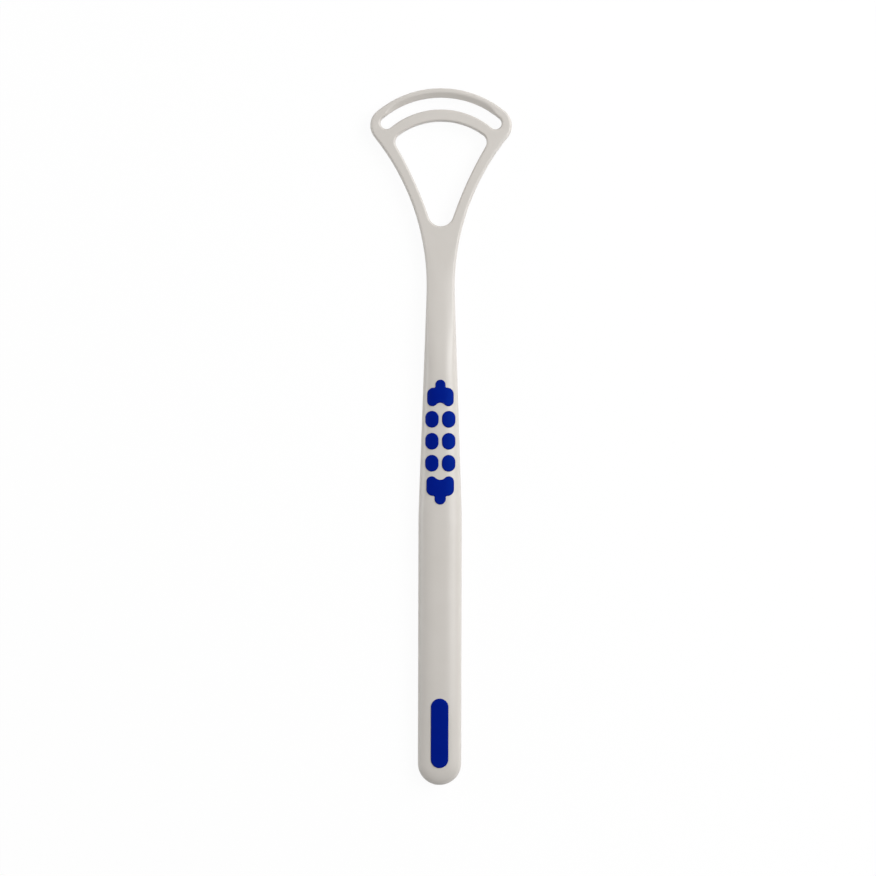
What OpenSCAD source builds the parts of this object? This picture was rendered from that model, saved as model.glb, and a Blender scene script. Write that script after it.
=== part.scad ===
// Tongue scraper: one stiff white moulding, a long crowned handle that narrows to a waist and
// opens into a fan-shaped head with two scraping arcs, and nine soft grip pads seated in pockets.
// It lies on its back: X is its width, Y its length with the head at +Y, and Z its thickness.
// The origin is at the middle of its bounding box, on the surface it lies on. Inside the modules
// Y is counted from the tail end and Z from the middle of the thickness, and lay_down() moves it.

/* [Overall] */
// Length from the tail end to the crest of the outer scraping arc
total_l = 170; // [155:1:190]
// Width of the head across its two corner lobes
head_w = 34.6; // [30:0.1:40]

/* [Handle] */
// Width of the straight part of the handle
handle_w = 10.6; // [9.6:0.1:12.8]
// Thickness of the handle along the grip
grip_t = 5.8; // [5:0.1:7]
// Thickness that the tail thins down to
tail_t = 4.3; // [4.2:0.1:5]
// Length over which the tail thins
tail_l = 24; // [20:0.5:30]
// Distance from the crest of the head to the shoulder, where the handle starts to narrow
shoulder_to_crest = 104.2; // [104:0.1:115]
// Radius of the soft bend at the shoulder
shoulder_r = 120; // [60:5:200]
// Width of the waist
waist_w = 6.85; // [6:0.05:8]
// Distance from the crest of the head to the waist
waist_to_crest = 48.4; // [44:0.1:52]
// Distance from the crest of the head to where the neck has thinned to the head
neck_to_crest = 36; // [35:0.5:40]
// Length over which the neck thins
neck_l = 34; // [26:0.5:34]
// How square the section of the handle is, where 2 is an ellipse
squareness = 2.5; // [2:0.1:3]
// Width of the flat land on the back, on which the handle rests
back_land_w = 5; // [4:0.1:6]
// Width of the flat crest on the front
front_land_w = 0.6; // [0.4:0.1:2]

/* [Head] */
// Thickness of the head
head_t = 2.4; // [2:0.1:3]
// Radius of the outer scraping arc
crest_r = 24.5; // [22:0.1:28]
// Radius of the two corner lobes
lobe_r = 4.5; // [4:0.1:5]
// Width of the outer scraping bar
outer_bar_w = 2.25; // [2:0.05:3]
// Width of the slot between the two scraping bars
slot_w = 3; // [2.3:0.05:3.3]
// Width of the inner scraping bar at its middle
inner_bar_w = 2.85; // [2.5:0.05:3.7]
// Width of the two arms where they are narrowest
arm_w = 2.65; // [2.3:0.05:3.2]
// Distance from the crest of the head to where the arms are narrowest
arm_to_crest = 25; // [24:0.5:28]
// Radius of the bowed sides of the window
window_side_r = 95; // [70:5:150]
// Radius of the top edge of the window
window_top_r = 17.4; // [16:0.1:19]
// Radius of the upper corners of the window
window_corner_r = 2.2; // [1.5:0.1:2.4]
// Radius of the foot of the window
window_foot_r = 3.1; // [2.6:0.05:3.6]
// Reach of the rounding on the outer edge of the neck and the head
head_edge = 0.7; // [0.5:0.05:0.9]
// Tilt of the low crown of the waist beside that rounding, in degrees
waist_tilt = 8; // [0:0.5:12]
// Reach of the rounding on the edges of the window and the slot
rim_edge = 0.55; // [0.3:0.05:0.7]
// Width of the scraping bevel at the middle of the outer bar
bevel_w = 1.3; // [1.1:0.05:1.5]
// Thickness of the scraping lip that the two bevels leave
lip_t = 0.8; // [0.6:0.1:1.4]
// Angle on either side of the middle over which the bevel keeps its width, in degrees
bevel_full_angle = 26; // [15:1:30]
// Angle between the run-out of the bevel and the centre of the slot's round end, in degrees
bevel_end_angle = 1; // [1:0.5:5]

/* [Grip pads] */
// Height that the pads stand proud of the handle
pad_proud = 0.25; // [0.1:0.05:0.4]
// Depth of the pockets at the crest of the handle
pad_depth = 1.5; // [1:0.1:1.8]
// Clearance between a pad and the walls of its pocket
pad_clear = 0.02; // [0.01:0.01:0.05]
// Width of the upper arrow pad
upper_arrow_w = 6.5; // [5.5:0.05:6.8]
// Length of the upper arrow pad
upper_arrow_l = 6.5; // [5.6:0.05:7]
// Width of the knob at the tip of the upper arrow pad
upper_knob_w = 2.5; // [2:0.05:2.8]
// Length of that knob beyond the shoulders of the pad
upper_knob_l = 1.95; // [1.8:0.05:2.4]
// Width of the lower arrow pad
lower_arrow_w = 6.75; // [5.6:0.05:8]
// Length of the lower arrow pad
lower_arrow_l = 6.9; // [6:0.05:8.5]
// Width of the knob at the tip of the lower arrow pad
lower_knob_w = 2.75; // [2:0.05:2.8]
// Length of that knob beyond the shoulders of the pad
lower_knob_l = 2.1; // [1.8:0.05:2.4]
// Distance between the lobes of the arrow pads and the nearest dots
arrow_gap = 1.1; // [0.8:0.05:1.6]
// Radius of the lobes of the arrow pads
arrow_lobe_r = 1.3; // [1:0.05:1.4]
// Depth of the notch between the lobes
arrow_notch = 0.85; // [0.7:0.05:1.1]
// Radius of the shoulders of the arrow pads
arrow_shoulder_r = 1.6; // [0.7:0.05:1.6]
// Radius of the hollow between knob and shoulder
arrow_hollow_r = 0.35; // [0.2:0.05:0.4]
// Width of the oval dots
dot_w = 3.3; // [2.8:0.05:3.5]
// Length of the oval dots
dot_l = 4.1; // [3.6:0.05:4.8]
// Distance between the two columns of dots
dot_gap_x = 4.1; // [3.85:0.05:4.2]
// Distance between the rows of dots
dot_pitch = 5.34; // [5:0.02:5.5]
// Distance from the crest of the head to the middle of the field of dots
dots_to_crest = 86.15; // [85:0.05:88]
// Width of the tail pad
tail_pad_w = 4.3; // [3.6:0.05:5.2]
// Length of the tail pad
tail_pad_l = 17; // [12:0.1:20]
// Distance from the tail end to the tail pad
tail_pad_inset = 4.35; // [3.8:0.05:5]

/* [Hidden] */
white_plastic = [0.9, 0.89, 0.86];
blue_rubber = [0.04, 0.14, 0.6];
// Every cut runs this far past the faces that it opens
overrun = 1;
// How far the roundings of the openings rise above the face of the head, so as to cut it cleanly
run_out = 0.01;
// Overlap of the bevel with the slot, so that no skin is left between them
bevel_lap = 0.05;
// Angle by which the two arcs of the bevel overlap, in degrees
bevel_lap_angle = 0.5;
// Width of the flat beside the edge rounding of the head
head_flat = 0.3;
// Steps of the section from its edge to its land, and how many of them round the neck's edge
section_steps = 8;
edge_steps = 5;
// Counts of the straight steps that the curved stretches are made of
tail_steps = 10;
tail_slope_steps = 6;
shoulder_steps = 2;
taper_steps = 12;
flank_steps = 15;
lobe_steps = 10;
crest_steps = 12;
foot_steps = 7;
window_side_steps = 8;
window_corner_steps = 7;
window_top_steps = 7;
rim_steps = 4;
arrow_steps = 5;
$fn = 64;
// Facets of a full turn of the slot and the bevels
head_facets = 96;

// Outline of the handle: its round tail, and the centres that the head is drawn from
tail_r = handle_w / 2;
tail_c = [0, tail_r];
shoulder_y = total_l - shoulder_to_crest;
waist_y = total_l - waist_to_crest;
neck_y = total_l - neck_to_crest - neck_l;
crest_c = [0, total_l - crest_r];
lobe_x = head_w / 2 - lobe_r;
lobe_c = crest_c + [lobe_x, sqrt(pow(crest_r - lobe_r, 2) - pow(lobe_x, 2))];
// The hollow flank runs through the waist and touches the lobe from outside
waist_to_lobe = lobe_c - [waist_w / 2, waist_y];
flank_r = (pow(norm(waist_to_lobe), 2) - pow(lobe_r, 2)) / (2 * (lobe_r + waist_to_lobe.x));
flank_c = [waist_w / 2 + flank_r, waist_y];
// The taper is the line from the shoulder that touches the flank
shoulder = [tail_r, shoulder_y];
shoulder_to_flank = flank_c - shoulder;
taper_angle = atan2(shoulder_to_flank.y, shoulder_to_flank.x)
    + asin(flank_r / norm(shoulder_to_flank)) - 90;
taper_along = [-sin(taper_angle), cos(taper_angle)];
shoulder_tangent_l = shoulder_r * tan(taper_angle / 2);
taper_start = shoulder + shoulder_tangent_l * taper_along;
taper_end = flank_c + flank_r * polar(180 + taper_angle);

// Centres of the arcs that bound the window, each touching the next
arm_angle = 180 - asin((total_l - arm_to_crest - flank_c.y) / flank_r);
window_side_c = flank_c + (flank_r + arm_w - window_side_r) * polar(arm_angle);
window_top_c = [0, total_l - outer_bar_w - slot_w - inner_bar_w - window_top_r];
foot_rise = sqrt(pow(window_side_r + window_foot_r, 2) - pow(window_side_c.x, 2));
window_foot_c = [0, window_side_c.y + foot_rise];
window_corner_c = circles_meet(
    window_side_c, window_side_r + window_corner_r, window_top_c, window_top_r - window_corner_r
);

// The slot follows the outer arc, and its round ends point at the lobes
slot_outer_r = crest_r - outer_bar_w;
slot_mid_r = slot_outer_r - slot_w / 2;
slot_half_angle = 90 - heading(crest_c, lobe_c);

// The ridge above the bevel runs beside the slot, then turns in on a smaller arc and runs out
bevel_slope = (head_t - lip_t) / 2 / bevel_w;
ridge_r = slot_outer_r + bevel_w;
run_out_angle = 90 - slot_half_angle + bevel_end_angle;
ridge_shift = bevel_w * (slot_outer_r + ridge_r)
    / (2 * (ridge_r - slot_outer_r * cos(90 - bevel_full_angle - run_out_angle)));
ridge_end_r = ridge_r - ridge_shift;
ridge_end_c = crest_c + ridge_shift * polar(90 - bevel_full_angle);
ridge_end_angle = heading(ridge_end_c, crest_c + slot_outer_r * polar(run_out_angle));

// Rows of dots, counted from the head, and the two arrow pads on either side of them
dot_rows = 3;
dots_y = total_l - dots_to_crest;
dots_half_l = ((dot_rows - 1) * dot_pitch + dot_l) / 2;
upper_arrow_y = dots_y + dots_half_l + arrow_gap;
lower_arrow_y = dots_y - dots_half_l - arrow_gap;
grip_floor = grip_t / 2 - pad_depth;
tail_floor = half_t(tail_pad_inset) - pad_depth;
// Length of skin that a pad is cut from, beyond either end of the pad
pad_margin = dot_pitch;

function polar(angle) = [cos(angle), sin(angle)];

// Direction from one point to another, in degrees
function heading(from, to) = atan2(to.y - from.y, to.x - from.x);

// Upper crossing of two circles
function circles_meet(a, a_r, b, b_r) =
    let (gap = norm(b - a))
    let (along = (a_r * a_r - b_r * b_r + gap * gap) / (2 * gap))
    let (across = sqrt(a_r * a_r - along * along))
    let (u = (b - a) / gap)
    a + along * u + across * [u.y, -u.x];

// Soft step from 0 to 1
function ease(x) = let (u = min(1, max(0, x))) u * u * (3 - 2 * u);

// Stretch of outline on an arc: each entry is a point and the direction of its wall.
// side is 1 where that direction leads away from the arc's centre, and -1 towards it.
function arc(centre, r, from, to, steps, side) = [
    for (i = [1:steps])
        let (out = polar(from * (1 - i / steps) + to * i / steps))
        [centre + r * out, side * out]
];

// Straight stretch of outline
function line(from, to, steps, out) = [for (i = [1:steps]) [from + (to - from) * i / steps, out]];

// Half the thickness at a distance from the tail end
function half_t(y) =
    y < neck_y
    ? (tail_t + (grip_t - tail_t) * ease(y / tail_l)) / 2
    : (grip_t - (grip_t - head_t) * ease((y - neck_y) / neck_l)) / 2;

// Depth and height of a rounding at a step, as shares of its reach and of the thickness
function rounding(step, steps) =
    let (angle = 90 * min(1, step / steps))
    [1 - pow(cos(angle), 2 / squareness), pow(sin(angle), 2 / squareness)];

// Depth from the outline and share of the thickness at a step of the section. On the handle one
// rounding runs from the edge to the land. On the neck a small rounding is followed by a low
// crown, which is gone at the head.
function section(p, step, land_w) =
    let (reach = max(p.x, p.y < tail_r ? tail_r : 0) - land_w / 2)
    let (neckward = ease((p.y - neck_y) / (waist_y - neck_y)))
    let (headward = ease((p.y - waist_y) / (neck_y + neck_l - waist_y)))
    let (flat_w = max(head_flat, (reach - head_edge) * (1 - headward)))
    let (inward = max(0, step - edge_steps) / (section_steps - edge_steps))
    let (crown = tan(waist_tilt) * flat_w / 2 * (1 - headward) / half_t(p.y))
    let (handle = rounding(step, section_steps))
    let (edge = rounding(step, edge_steps))
    [
        handle[0] * reach * (1 - neckward) + (edge[0] * head_edge + inward * flat_w) * neckward,
        handle[1] * (1 - neckward) + edge[1] * (1 - crown * pow(1 - inward, 2)) * neckward
    ];

// Right half of the outline, from the tail end to the crest, with inward directions
outline = concat(
    [[[0, 0], [0, 1]]],
    arc(tail_c, tail_r, -90, 0, tail_steps, -1),
    line([tail_r, tail_r], [tail_r, tail_l], tail_slope_steps, [-1, 0]),
    line([tail_r, tail_l], shoulder - [0, shoulder_tangent_l], 1, [-1, 0]),
    arc(shoulder - [shoulder_r, shoulder_tangent_l], shoulder_r, 0, taper_angle, shoulder_steps, -1),
    line(taper_start, taper_end, taper_steps, -polar(taper_angle)),
    arc(flank_c, flank_r, 180 + taper_angle, heading(flank_c, lobe_c), flank_steps, 1),
    arc(lobe_c, lobe_r, heading(lobe_c, flank_c), heading(crest_c, lobe_c), lobe_steps, -1),
    arc(crest_c, crest_r, heading(crest_c, lobe_c), 90, crest_steps, -1)
);

// Right half of the window, from its foot to its top, with directions into the wall around it
window_outline = concat(
    [[window_foot_c - [0, window_foot_r], [0, -1]]],
    arc(window_foot_c, window_foot_r, -90, heading(window_foot_c, window_side_c), foot_steps, 1),
    arc(
        window_side_c, window_side_r, heading(window_side_c, window_foot_c),
        heading(window_side_c, window_corner_c), window_side_steps, -1
    ),
    arc(
        window_corner_c, window_corner_r, heading(window_corner_c, window_side_c),
        heading(window_top_c, window_corner_c), window_corner_steps, 1
    ),
    arc(window_top_c, window_top_r, heading(window_top_c, window_corner_c), 90, window_top_steps, 1)
);

// A point of the skin: step 0 is the edge of the outline and section_steps the flat land
function skin_point(entry, step, face, grow) =
    let (land_w = face > 0 ? front_land_w : back_land_w)
    let (at = section(entry[0], step, land_w))
    let (depth_share = at[0] / section(entry[0], section_steps, land_w)[0])
    let (p = entry[0] + (at[0] - grow * (1 - depth_share)) * entry[1])
    [p.x, p.y, face * at[1] * (half_t(p.y) + grow)];

// Right side of the section, from the front land round the edge to the back land
function skin_ring(entry, grow) = [
    for (step = [section_steps:-1:0]) skin_point(entry, step, 1, grow),
    for (step = [1:section_steps]) skin_point(entry, step, -1, grow)
];

// Mouth of an opening in the head: offset into the wall and height, from front to back
function mouth(edge) = concat(
    [[edge, head_t / 2 + overrun]],
    [for (i = [0:rim_steps]) mouth_point(edge, 90 - 90 * i / rim_steps, 1)],
    [for (i = [0:rim_steps]) mouth_point(edge, 90 * i / rim_steps, -1)],
    [[edge, -head_t / 2 - overrun]]
);

function mouth_point(edge, angle, face) =
    [edge * (1 - cos(angle)), face * (head_t / 2 + run_out - edge * (1 - sin(angle)))];

// A face of four corners as triangles, less those that shrink to a line on the axis
function triangles(a, b, c, d) = [
    for (t = [[a, b, c], [a, c, d]]) if (t[0] != t[1] && t[1] != t[2] && t[2] != t[0]) t
];

// Solid that is alike on both sides of the YZ plane. Each ring lists points of its right side
// from front to back, and a ring on the axis is shared by both sides.
module mirrored_solid(rings) {
    count = len(rings[0]);
    last = len(rings) - 1;
    points = [for (ring = rings, side = [1, -1], p = ring) [side * p.x, p.y, p.z]];
    function at(i, side, k) = (2 * i + (rings[i][0].x == 0 ? 0 : side)) * count + k;
    walls = [
        for (i = [0:last - 1], k = [0:count - 2])
            each concat(
                triangles(at(i, 0, k), at(i + 1, 0, k), at(i + 1, 0, k + 1), at(i, 0, k + 1)),
                triangles(at(i, 1, k), at(i, 1, k + 1), at(i + 1, 1, k + 1), at(i + 1, 1, k))
            )
    ];
    lands = [
        for (i = [0:last - 1])
            each concat(
                triangles(at(i, 0, 0), at(i, 1, 0), at(i + 1, 1, 0), at(i + 1, 0, 0)),
                triangles(
                    at(i, 0, count - 1), at(i + 1, 0, count - 1),
                    at(i + 1, 1, count - 1), at(i, 1, count - 1)
                )
            )
    ];
    ends = [
        for (k = [0:count - 2])
            each concat(
                triangles(at(0, 0, k), at(0, 0, k + 1), at(0, 1, k + 1), at(0, 1, k)),
                triangles(at(last, 0, k), at(last, 1, k), at(last, 1, k + 1), at(last, 0, k + 1))
            )
    ];
    polyhedron(points, concat(walls, lands, ends));
}

// Skin of the moulding between two distances from the tail end, grown outwards
module skin(from, to, grow) {
    mirrored_solid([for (e = outline) if (e[0].y >= from && e[0].y <= to) skin_ring(e, grow)]);
}

// Fan-shaped window with rounded rims
module window_cut() {
    mirrored_solid([
        for (e = window_outline)
            [for (m = mouth(rim_edge)) [e[0].x + m[0] * e[1].x, e[0].y + m[0] * e[1].y, m[1]]]
    ]);
}

// Half of the section of the slot, with its rims, beside the line that it is turned about
module slot_half_section() {
    polygon(concat(
        [[0, -head_t / 2 - overrun], [0, head_t / 2 + overrun]],
        [for (m = mouth(rim_edge)) [slot_w / 2 + m[0], m[1]]]
    ));
}

// Slot along the outer arc, with round ends
module slot_cut() {
    translate(crest_c) {
        rotate(90 - slot_half_angle)
            rotate_extrude(angle = 2 * slot_half_angle, $fn = head_facets)
            translate([slot_mid_r, 0]) for (side = [0, 1]) mirror([side, 0]) slot_half_section();
        for (side = [0, 1]) mirror([side, 0])
            rotate(90 - slot_half_angle) translate([slot_mid_r, 0])
                rotate_extrude() slot_half_section();
    }
}

// Section of the bevel's cut, beside the line that it is turned about
module bevel_section(r) {
    polygon([
        [r - bevel_w - bevel_lap, lip_t / 2 - bevel_lap * bevel_slope],
        [r + overrun / bevel_slope, head_t / 2 + overrun],
        [r - bevel_w - bevel_lap, head_t / 2 + overrun]
    ]);
}

// Bevels on both faces of the outer bar, which leave a ridge outside and a scraping lip inside
module bevel_cut() {
    turn_in = 90 - bevel_full_angle - ridge_end_angle;
    for (face = [0, 1]) mirror([0, 0, face]) {
        translate(crest_c) rotate(90 - bevel_full_angle)
            rotate_extrude(angle = 2 * bevel_full_angle, $fn = head_facets)
                bevel_section(ridge_r);
        for (side = [0, 1]) mirror([side, 0])
            translate(ridge_end_c) rotate(ridge_end_angle - bevel_lap_angle)
                rotate_extrude(angle = turn_in + 2 * bevel_lap_angle, $fn = head_facets)
                    bevel_section(ridge_end_r);
    }
}

// Right half of an arrow pad that points along +Y from the ends of its lobes
function arrow_side(w, l, knob_w, knob_l, clear) =
    let (lobe = [w / 2 - arrow_lobe_r, arrow_lobe_r])
    let (notch_r = (pow(lobe.x, 2) + pow(arrow_notch, 2)) / (2 * arrow_notch) - arrow_lobe_r)
    let (notch = [0, arrow_notch - notch_r])
    let (top = l - knob_l)
    let (knob = [0, l - knob_w / 2])
    let (hollow = [knob_w / 2 + arrow_hollow_r, top + arrow_hollow_r])
    let (corner_r = min(arrow_shoulder_r, w / 2 - hollow.x, top - lobe.y))
    let (corner = [w / 2 - corner_r, top - corner_r])
    [
        for (e = concat(
            arc(notch, notch_r + clear, 90, heading(notch, lobe), arrow_steps, 1),
            arc(lobe, arrow_lobe_r - clear, heading(lobe, notch), 0, 2 * arrow_steps, 1),
            arc(corner, corner_r - clear, 0, 90, arrow_steps, 1),
            arc(hollow, arrow_hollow_r + clear, 270, 180, arrow_steps, 1),
            arc(knob, knob_w / 2 - clear, 0, 90, arrow_steps, 1)
        )) e[0]
    ];

module arrow_shape(w, l, knob_w, knob_l, clear) {
    side = arrow_side(w, l, knob_w, knob_l, clear);
    left = [for (i = [len(side) - 2:-1:0]) [-side[i].x, side[i].y]];
    polygon(concat(side, left));
}

// Oval with straight sides and round ends, which starts at Y = 0
module oval_shape(w, l, clear) {
    r = w / 2;
    for (y = [r, l - r]) translate([0, y]) circle(r - clear);
    translate([clear - r, r]) square([w - 2 * clear, l - w]);
}

module upper_arrow_shape(clear) {
    translate([0, upper_arrow_y])
        arrow_shape(upper_arrow_w, upper_arrow_l, upper_knob_w, upper_knob_l, clear);
}

module lower_arrow_shape(clear) {
    translate([0, lower_arrow_y]) mirror([0, 1])
        arrow_shape(lower_arrow_w, lower_arrow_l, lower_knob_w, lower_knob_l, clear);
}

// Where a row of dots starts, counted from the tail end
function dot_start(row) = dots_y + dots_half_l - dot_l - row * dot_pitch;

module dot_shape(row, side, clear) {
    translate([side * dot_gap_x / 2, dot_start(row)]) oval_shape(dot_w, dot_l, clear);
}

module tail_shape(clear) {
    translate([0, tail_pad_inset]) oval_shape(tail_pad_w, tail_pad_l, clear);
}

// Column of space over a shape, from the floor of its pocket to above the crest of the handle
module pocket(floor_z) {
    translate([0, 0, floor_z]) linear_extrude(grip_t / 2 + overrun - floor_z) children();
}

// A pad fills its pocket and ends in the skin of the handle, lifted by the proud height
module pad(floor_z, from, l) {
    color(blue_rubber) lay_down() intersection() {
        pocket(floor_z) children();
        skin(from - pad_margin, from + l + pad_margin, pad_proud);
    }
}

module lay_down() {
    translate([0, -total_l / 2, grip_t / 2]) children();
}

module moulding() {
    color(white_plastic) lay_down() difference() {
        skin(0, total_l, 0);
        window_cut();
        slot_cut();
        bevel_cut();
        pocket(grip_floor) {
            upper_arrow_shape(0);
            lower_arrow_shape(0);
            for (row = [0:dot_rows - 1], side = [-1, 1]) dot_shape(row, side, 0);
        }
        pocket(tail_floor) tail_shape(0);
    }
}

module upper_arrow_pad() {
    pad(grip_floor, upper_arrow_y, upper_arrow_l) upper_arrow_shape(pad_clear);
}

module lower_arrow_pad() {
    pad(grip_floor, lower_arrow_y - lower_arrow_l, lower_arrow_l) lower_arrow_shape(pad_clear);
}

module grip_dot(row, side) {
    pad(grip_floor, dot_start(row), dot_l) dot_shape(row, side, pad_clear);
}

module tail_pad() {
    pad(tail_floor, tail_pad_inset, tail_pad_l) tail_shape(pad_clear);
}

moulding();
upper_arrow_pad();
grip_dot(0, -1);  // left_dot_1
grip_dot(0, 1);  // right_dot_1
grip_dot(1, -1);  // left_dot_2
grip_dot(1, 1);  // right_dot_2
grip_dot(2, -1);  // left_dot_3
grip_dot(2, 1);  // right_dot_3
lower_arrow_pad();
tail_pad();
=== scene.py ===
import math
from collections import namedtuple
from types import SimpleNamespace

import bmesh
import bpy
from bpy.props import FloatProperty, FloatVectorProperty, IntProperty, PointerProperty
from bpy.types import Operator, Panel, PropertyGroup
from mathutils import Euler, Matrix, Vector


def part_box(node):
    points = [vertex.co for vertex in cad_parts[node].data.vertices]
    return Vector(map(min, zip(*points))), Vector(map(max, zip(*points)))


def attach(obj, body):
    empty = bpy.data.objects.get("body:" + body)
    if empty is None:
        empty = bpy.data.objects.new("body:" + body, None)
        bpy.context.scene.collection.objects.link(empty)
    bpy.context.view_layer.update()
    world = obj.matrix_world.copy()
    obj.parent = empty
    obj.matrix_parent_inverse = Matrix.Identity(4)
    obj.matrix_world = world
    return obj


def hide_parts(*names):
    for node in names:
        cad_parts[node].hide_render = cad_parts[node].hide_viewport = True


bl_info = {
    "name": "Tongue Scraper",
    "version": (1, 0, 0),
    "blender": (4, 5, 0),
    "location": "View3D > Sidebar > Scraper",
    "description": "Models a two-material tongue scraper, its finishes and its studio",
    "category": "Add Mesh",
}

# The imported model: its box, its length, and the sizes that follow from it
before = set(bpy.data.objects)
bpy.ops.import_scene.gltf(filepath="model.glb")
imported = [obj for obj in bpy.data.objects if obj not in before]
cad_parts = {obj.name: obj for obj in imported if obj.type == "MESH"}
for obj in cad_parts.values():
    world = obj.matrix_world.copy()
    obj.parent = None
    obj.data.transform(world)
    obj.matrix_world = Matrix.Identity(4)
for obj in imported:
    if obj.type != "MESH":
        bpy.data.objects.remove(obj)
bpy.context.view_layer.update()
MOULDING_LOW, MOULDING_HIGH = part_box("moulding")
LENGTH = MOULDING_HIGH.y - MOULDING_LOW.y
HEAD_W = MOULDING_HIGH.x - MOULDING_LOW.x
GRIP_T = MOULDING_HIGH.z - MOULDING_LOW.z
DOTS = ("left_dot_1", "right_dot_1", "left_dot_2", "right_dot_2", "left_dot_3", "right_dot_3")

# Units, and the distance within which two vertices are one
MM = 0.001
WELD = 0.001 * MM
# Every cutter runs this far past the faces that it opens
OVERRUN = 1 * MM
# How far the roundings of the openings rise above the face of the head, so as to cut it cleanly
RUN_OUT = 0.01 * MM
# How far the cutter of the bevels reaches into the slot, and on past the end of their ridge
BEVEL_LAP = 0.05 * MM
BEVEL_LAP_ANGLE = math.radians(0.5)
# The fewest steps of an arc
LEAST_TURN_STEPS = 2
# Edges turned more than this stay sharp
MOULDING_CREASE = math.radians(20)
PAD_CREASE = math.radians(50)
# Steps round the floor, and up the cove that turns it into a wall
FLOOR_STEPS = 96
COVE_STEPS = 12

# The range that most of a noise lies in
CLOUD_RANGE = (0.3, 0.7)

# A leg of an outline: a turn about a centre, or a straight run where there is no centre
Leg = namedtuple("Leg", "centre turn run steps")


def length(name, size, description):
    """A property that holds a length, with its default in millimetres"""
    return FloatProperty(
        name=name, description=description, default=size * MM, unit="LENGTH", precision=5
    )


def degrees(name, size, description):
    """A property that holds an angle, with its default in degrees"""
    return FloatProperty(
        name=name, description=description, default=math.radians(size), unit="ROTATION"
    )


def power(name, watts, description):
    """A property that holds the power of a lamp"""
    return FloatProperty(name=name, description=description, default=watts, unit="POWER", min=0)


def colour(name, rgb, description):
    """A property that holds a colour, with its default in linear light"""
    return FloatVectorProperty(
        name=name, description=description, default=rgb, subtype="COLOR", min=0, max=1
    )


def share(name, value, description):
    """A property that holds a share between 0 and 1"""
    return FloatProperty(
        name=name, description=description, default=value, min=0, max=1, subtype="FACTOR"
    )


def share_range(name, values, description):
    """A property that holds the least and the greatest of a share that varies"""
    return FloatVectorProperty(
        name=name, description=description, default=values, size=2, min=0, max=1
    )


class SCRAPER_PG_moulding(PropertyGroup):
    """Sizes of the white moulding"""

    handle_w: length("Handle width", 10.6, "Width of the straight part of the handle")
    tail_t: length("Tail thickness", 4.3, "Thickness that the tail thins down to")
    tail_l: length("Tail length", 24, "Length over which the tail thins")
    shoulder_to_crest: length("Shoulder", 104.2, "Distance from the crest to the shoulder")
    shoulder_r: length("Shoulder radius", 120, "Radius of the soft bend at the shoulder")
    waist_w: length("Waist width", 6.85, "Width of the waist")
    waist_to_crest: length("Waist", 48.4, "Distance from the crest to the waist")
    neck_to_crest: length("Neck", 36, "Distance from the crest to the end of the neck")
    neck_l: length("Neck length", 34, "Length over which the neck thins")
    squareness: FloatProperty(
        name="Squareness", description="Exponent of the handle's section", default=2.5, min=2, max=4
    )
    back_land_w: length("Back land", 5, "Width of the flat land on the back")
    front_land_w: length("Front land", 0.6, "Width of the flat crest on the front")
    head_t: length("Head thickness", 2.4, "Thickness of the head")
    crest_r: length("Crest radius", 24.5, "Radius of the outer scraping arc")
    lobe_r: length("Lobe radius", 4.5, "Radius of the two corner lobes")
    outer_bar_w: length("Outer bar", 2.25, "Width of the outer scraping bar")
    slot_w: length("Slot", 3, "Width of the slot between the bars")
    inner_bar_w: length("Inner bar", 2.85, "Width of the inner scraping bar")
    arm_w: length("Arms", 2.65, "Width of the two arms where they are narrowest")
    arm_to_crest: length("Arm place", 25, "Distance from the crest to where the arms are narrowest")
    window_side_r: length("Window sides", 95, "Radius of the bowed sides of the window")
    window_top_r: length("Window top", 17.4, "Radius of the top edge of the window")
    window_corner_r: length("Window corners", 2.2, "Radius of the upper corners of the window")
    window_foot_r: length("Window foot", 3.1, "Radius of the foot of the window")
    head_edge: length("Head edge", 0.7, "Reach of the rounding on the head's outer edge")
    head_flat: length("Head flat", 0.3, "Width of the flat beside that rounding")
    waist_tilt: degrees("Waist tilt", 8, "Tilt of the waist's low crown beside that rounding")
    rim_edge: length("Rims", 0.55, "Reach of the rounding round the window and the slot")
    bevel_w: length("Bevel width", 1.15, "Width of the scraping bevel at its middle")
    ridge_rounding: length("Bevel ridge", 0.9, "Radius of the rounding along the bevel's ridge")
    lip_t: length("Lip", 0.8, "Thickness of the scraping lip that the bevels leave")
    bevel_full_angle: degrees("Bevel angle", 26, "Half the angle along which the bevel is full")
    bevel_end_angle: degrees("Bevel end", 1, "Angle between the bevel's run-out and the slot's end")
    section_steps: IntProperty(
        name="Section steps", description="Steps from the edge to the land", default=18, min=4
    )
    edge_steps: IntProperty(
        name="Edge steps", description="How many of them round the neck's edge", default=11, min=2
    )
    rim_steps: IntProperty(
        name="Rim steps", description="Steps round the rims of the openings", default=6, min=1
    )
    ridge_steps: IntProperty(
        name="Ridge steps", description="Steps round the bevel's ridge", default=5, min=1
    )
    step_l: length("Step", 1.2, "Length of the straight steps along the outline")
    turn_step: degrees("Turn step", 4.5, "Angle of the steps round a tight arc")


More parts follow.
